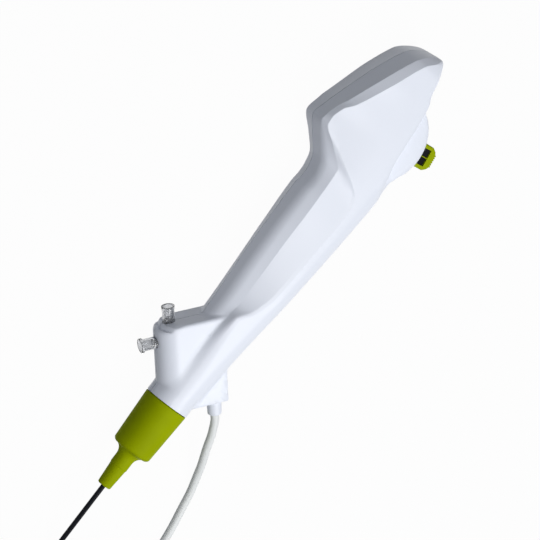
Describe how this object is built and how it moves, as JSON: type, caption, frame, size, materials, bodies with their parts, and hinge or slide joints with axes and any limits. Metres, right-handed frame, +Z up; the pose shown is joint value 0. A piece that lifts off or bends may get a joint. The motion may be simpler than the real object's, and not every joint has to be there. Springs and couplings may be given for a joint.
{
  "type": "flexible endoscope",
  "caption": "Pistol-like endoscope handle with a thumb lever and luer ports, a thin tube with a linked bending tip, and a video cable with a plug.",
  "frame": {"origin": "centre of the handle's box, seen from above, on the table that its flat side rests on", "axes": "+X along the handle towards its head, +Y towards the finger side with the ports, +Z up from the side that the handle lies on"},
  "size_m": [0.3761, 0.1579, 0.031],
  "materials": {
    "white_shell": "satin white moulding",
    "green_sleeve": "satin yellow-green moulding",
    "green_pad": "satin yellow-green moulding",
    "clear_port": "clear glossy",
    "steel": "drawn stainless",
    "black_arm": "satin black",
    "grey_wheel": "matt grey",
    "board": "solder mask",
    "chip": "matt black",
    "white_rubber": "satin",
    "black_sheath": "smooth satin",
    "cable_jacket": "smooth satin",
    "black_tip": "satin black",
    "lens_glass": "polished",
    "light_glass": "polished",
    "connector_steel": "plated"
  },
  "bodies": {
    "handle": {"upper_shell": "white_shell", "lower_shell": "white_shell", "nose_sleeve": "green_sleeve", "upper_port": "clear_port", "side_port": "clear_port", "channel_manifold": "clear_port", "channel_tube": "clear_port", "lever_axle": "steel", "wire_guide_block": "grey_wheel", "wire_guide_upper": "steel", "wire_guide_lower": "steel", "circuit_board": "board", "board_chip_1": "chip", "board_chip_2": "chip", "board_chip_3": "chip", "cable_collar": "white_rubber", "cable_clamp": "steel", "insertion_tube": "black_sheath", "insertion_tube_coil": "black_sheath", "insertion_tube_tail": "black_sheath", "video_cable": "cable_jacket", "video_cable_coil": "cable_jacket", "video_cable_tail": "cable_jacket", "bend_base": "steel", "plug_boot": "white_rubber", "plug_housing": "white_shell", "plug_connector": "connector_steel"},
    "lever": {"lever_arm": "black_arm", "lever_pad": "green_pad", "pull_wheel": "grey_wheel"},
    "wire_upper": {"pull_wire_upper": "steel"},
    "wire_lower": {"pull_wire_lower": "steel"},
    "link_01": {"bend_link_01": "steel"},
    "link_02": {"bend_link_02": "steel"},
    "link_03": {"bend_link_03": "steel"},
    "link_04": {"bend_link_04": "steel"},
    "link_05": {"bend_link_05": "steel"},
    "link_06": {"bend_link_06": "steel"},
    "link_07": {"bend_link_07": "steel"},
    "link_08": {"bend_link_08": "steel"},
    "link_09": {"bend_link_09": "steel"},
    "tip": {"tip_housing": "black_tip", "camera_window": "lens_glass", "tip_light_left": "light_glass", "tip_light_right": "light_glass"}
  },
  "joints": [
    {"name": "lever_hinge", "type": "hinge", "parent": "handle", "child": "lever", "pos_m": [0.0865, -0.00297, 0.0155], "axis": [0, 0, 1], "range_deg": [-28, 28]},
    {"name": "upper_wire_slide", "type": "slide", "parent": "handle", "child": "wire_upper", "axis": [1, 0, 0], "range_m": [-0.0035, 0.0035]},
    {"name": "lower_wire_slide", "type": "slide", "parent": "handle", "child": "wire_lower", "axis": [1, 0, 0], "range_m": [-0.0035, 0.0035]},
    {"name": "bend_hinge_01", "type": "hinge", "parent": "handle", "child": "link_01", "pos_m": [-0.241, -0.07332, 0.00135], "axis": [0, 0, 1], "range_deg": [-26, 26]},
    {"name": "bend_hinge_02", "type": "hinge", "parent": "link_01", "child": "link_02", "pos_m": [-0.241, -0.07732, 0.00135], "axis": [0, 0, 1], "range_deg": [-26, 26]},
    {"name": "bend_hinge_03", "type": "hinge", "parent": "link_02", "child": "link_03", "pos_m": [-0.241, -0.08132, 0.00135], "axis": [0, 0, 1], "range_deg": [-26, 26]},
    {"name": "bend_hinge_04", "type": "hinge", "parent": "link_03", "child": "link_04", "pos_m": [-0.241, -0.08532, 0.00135], "axis": [0, 0, 1], "range_deg": [-26, 26]},
    {"name": "bend_hinge_05", "type": "hinge", "parent": "link_04", "child": "link_05", "pos_m": [-0.241, -0.08932, 0.00135], "axis": [0, 0, 1], "range_deg": [-26, 26]},
    {"name": "bend_hinge_06", "type": "hinge", "parent": "link_05", "child": "link_06", "pos_m": [-0.241, -0.09332, 0.00135], "axis": [0, 0, 1], "range_deg": [-26, 26]},
    {"name": "bend_hinge_07", "type": "hinge", "parent": "link_06", "child": "link_07", "pos_m": [-0.241, -0.09732, 0.00135], "axis": [0, 0, 1], "range_deg": [-26, 26]},
    {"name": "bend_hinge_08", "type": "hinge", "parent": "link_07", "child": "link_08", "pos_m": [-0.241, -0.10132, 0.00135], "axis": [0, 0, 1], "range_deg": [-26, 26]},
    {"name": "bend_hinge_09", "type": "hinge", "parent": "link_08", "child": "link_09", "pos_m": [-0.241, -0.10532, 0.00135], "axis": [0, 0, 1], "range_deg": [-26, 26]},
    {"name": "bend_hinge_10", "type": "hinge", "parent": "link_09", "child": "tip", "pos_m": [-0.241, -0.10932, 0.00135], "axis": [0, 0, 1], "range_deg": [-26, 26]}
  ],
  "couplings": [
    {"joint": "upper_wire_slide", "follows": "lever_hinge", "m_per_rad": -0.00715},
    {"joint": "lower_wire_slide", "follows": "lever_hinge", "m_per_rad": 0.00715},
    {"joint": "bend_hinge_01", "follows": "lever_hinge", "ratio": 0.9},
    {"joint": "bend_hinge_02", "follows": "lever_hinge", "ratio": 0.9},
    {"joint": "bend_hinge_03", "follows": "lever_hinge", "ratio": 0.9},
    {"joint": "bend_hinge_04", "follows": "lever_hinge", "ratio": 0.9},
    {"joint": "bend_hinge_05", "follows": "lever_hinge", "ratio": 0.9},
    {"joint": "bend_hinge_06", "follows": "lever_hinge", "ratio": 0.9},
    {"joint": "bend_hinge_07", "follows": "lever_hinge", "ratio": 0.9},
    {"joint": "bend_hinge_08", "follows": "lever_hinge", "ratio": 0.9},
    {"joint": "bend_hinge_09", "follows": "lever_hinge", "ratio": 0.9},
    {"joint": "bend_hinge_10", "follows": "lever_hinge", "ratio": 0.9}
  ]
}
